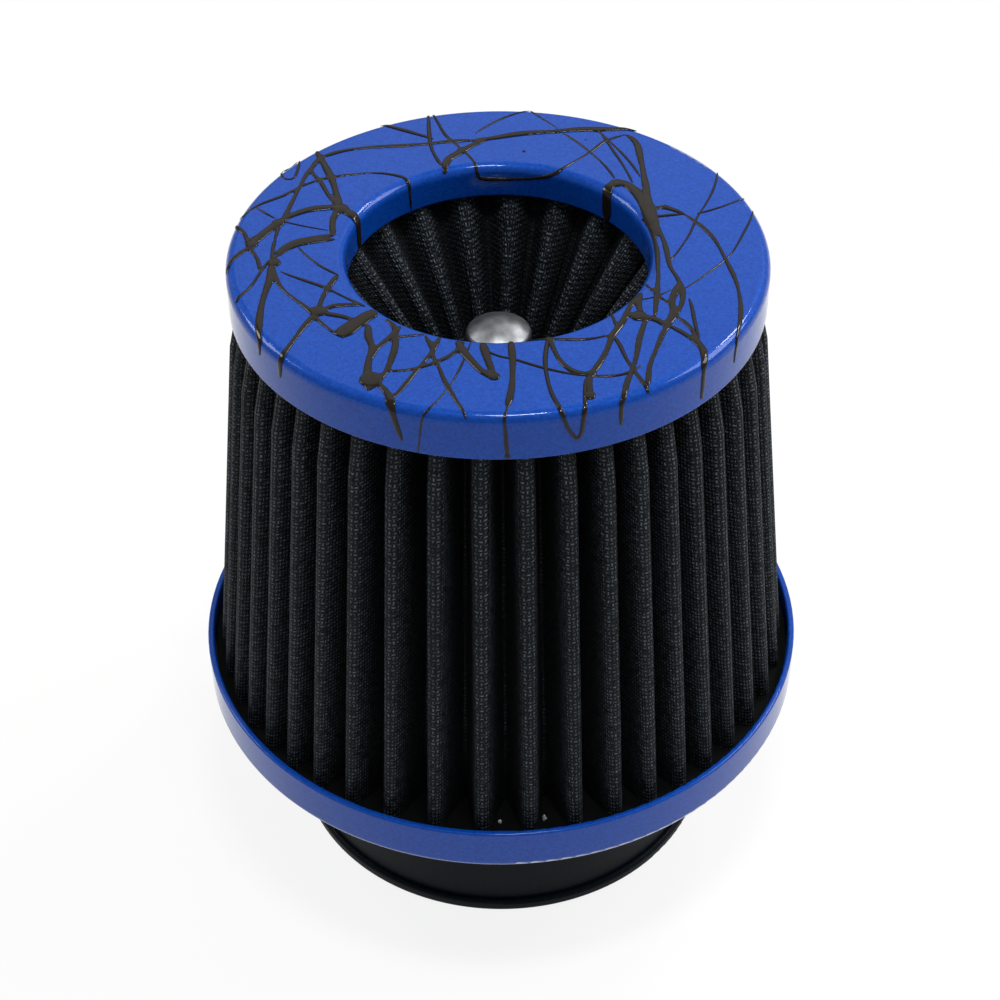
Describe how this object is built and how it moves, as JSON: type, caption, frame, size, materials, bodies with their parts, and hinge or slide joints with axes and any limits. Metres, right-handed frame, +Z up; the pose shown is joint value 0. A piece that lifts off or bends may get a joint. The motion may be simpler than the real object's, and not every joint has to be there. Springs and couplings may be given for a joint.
{
  "type": "performance air filter",
  "caption": "Clamp-on engine air filter: tapered pleated element between painted rings, inverted pleated cone in the top ring's hole, rubber neck that clamps on an intake pipe",
  "frame": {"origin": "centre of the neck's mouth, on the face the filter stands on", "axes": "+Z is up along the filter's axis, from the neck to the top ring; -Y faces the viewer of the reference view"},
  "size_m": [0.12, 0.12, 0.133],
  "materials": {
    "rubber_neck": "satin black moulded rubber",
    "blue_paint": "blue metallic gloss paint with black lacquer strands",
    "screened_media": "black woven screen over black filter media",
    "sealant": "black cast polyurethane",
    "post_metal": "turned, softly polished aluminium",
    "fixing_steel": "zinc-plated steel"
  },
  "bodies": {
    "root": {"neck_collar": "rubber_neck", "base_ring": "blue_paint", "top_ring": "blue_paint", "outer_element": "screened_media", "cone_element": "screened_media", "base_sealant": "sealant", "top_sealant": "sealant", "cone_cap": "sealant", "centre_post": "post_metal", "post_washer": "fixing_steel", "post_nut": "fixing_steel"}
  },
  "joints": []
}
